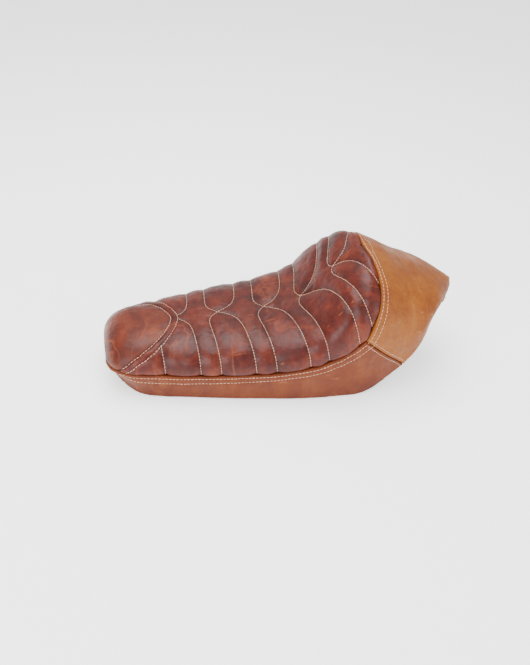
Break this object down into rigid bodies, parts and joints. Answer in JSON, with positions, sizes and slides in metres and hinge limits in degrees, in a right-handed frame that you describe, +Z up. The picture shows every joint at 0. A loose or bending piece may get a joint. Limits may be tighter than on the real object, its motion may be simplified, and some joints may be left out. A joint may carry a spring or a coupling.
{
  "type": "motorcycle seat",
  "caption": "Solo motorcycle seat with a kicked-up rear hump: stitched leather panels over foam on a moulded base pan, with a bolt-on rear bracket and a front tongue.",
  "frame": {"origin": "middle of the seat's length and width, on the flat lower edge of the skirt", "axes": "+Z up, nose towards -X, hump and tail towards +X, symmetric left to right across Y"},
  "size_m": [0.643, 0.2744, 0.2365],
  "materials": {
    "quilted_leather": "pull-up leather, dark red-brown, semi-gloss",
    "nose_leather": "pull-up leather, red-brown, semi-gloss",
    "skirt_leather": "pull-up leather, mid brown, satin",
    "tail_leather": "pull-up leather, tan, satin",
    "lining_foam": "thin scrim-backed foam",
    "foam": "moulded polyurethane foam",
    "pan_plastic": "moulded, fine texture",
    "black_steel": "black powder coat, semi-gloss",
    "zinc_steel": "zinc plated",
    "rivet_aluminium": "plain",
    "bumper_rubber": "matt"
  },
  "bodies": {
    "root": {"base_pan": "pan_plastic", "bracket_bolts": "zinc_steel", "bracket_spring_washers": "zinc_steel", "bracket_washers": "zinc_steel", "bumper_screws": "zinc_steel", "floor_inserts": "zinc_steel", "front_bumpers": "bumper_rubber", "front_tongue": "zinc_steel", "hump_foam": "foam", "nose_band": "skirt_leather", "nose_band_lining": "lining_foam", "nose_panel": "nose_leather", "nose_panel_lining": "lining_foam", "rear_bracket": "black_steel", "rear_bumpers": "bumper_rubber", "seat_foam": "foam", "seat_panel": "quilted_leather", "seat_panel_lining": "lining_foam", "skirt_left": "skirt_leather", "skirt_left_lining": "lining_foam", "skirt_right": "skirt_leather", "skirt_right_lining": "lining_foam", "tail_cover": "tail_leather", "tail_cover_lining": "lining_foam", "tongue_rivets": "rivet_aluminium"}
  },
  "joints": []
}
